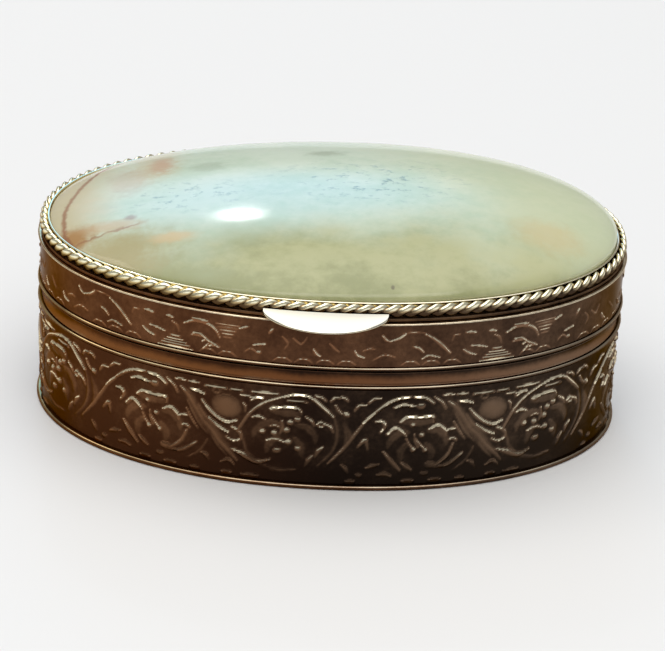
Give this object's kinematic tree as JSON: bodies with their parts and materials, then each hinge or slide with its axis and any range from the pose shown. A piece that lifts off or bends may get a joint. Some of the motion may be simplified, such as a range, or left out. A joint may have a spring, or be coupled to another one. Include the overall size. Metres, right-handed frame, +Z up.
{
  "type": "trinket box",
  "caption": "Oval hinged trinket box with embossed metal walls, a twisted wire border, a domed polished stone lid and a soft lining.",
  "frame": {"origin": "on the surface that the box stands on, under the middle of its overall box", "axes": "+Z up, thumb lift towards -Y, hinge towards +Y, the oval's long axis along X"},
  "size_m": [0.0756, 0.056, 0.0309],
  "materials": {
    "gilt_plain": "polished, aged",
    "gilt_embossed": "embossed, dark in the recesses",
    "gilt_bright": "polished",
    "steel_pin": "satin",
    "onyx_stone": "polished",
    "stone_cement": "matt",
    "lining_velvet": "velvet"
  },
  "bodies": {
    "box": {"base_plate": "gilt_plain", "body_wall": "gilt_embossed", "body_rim_band": "gilt_plain", "body_bead": "gilt_bright", "inner_collar": "gilt_plain", "wall_lining": "lining_velvet", "floor_lining": "lining_velvet", "hinge_leaf_body": "gilt_plain", "hinge_pin": "steel_pin"},
    "lid": {"lid_wall": "gilt_embossed", "lid_bead": "gilt_bright", "lid_plate": "gilt_plain", "border_step": "gilt_plain", "wire_border": "gilt_bright", "bezel_strip": "gilt_bright", "stone_bed": "stone_cement", "stone": "onyx_stone", "thumb_lift": "gilt_bright", "lid_lining": "lining_velvet", "hinge_leaf_lid": "gilt_plain"}
  },
  "joints": [
    {"name": "lid_hinge", "type": "hinge", "parent": "box", "child": "lid", "pos_m": [0, 0.0268, 0.01625], "axis": [-1, 0, 0], "range_deg": [0, 100]}
  ]
}
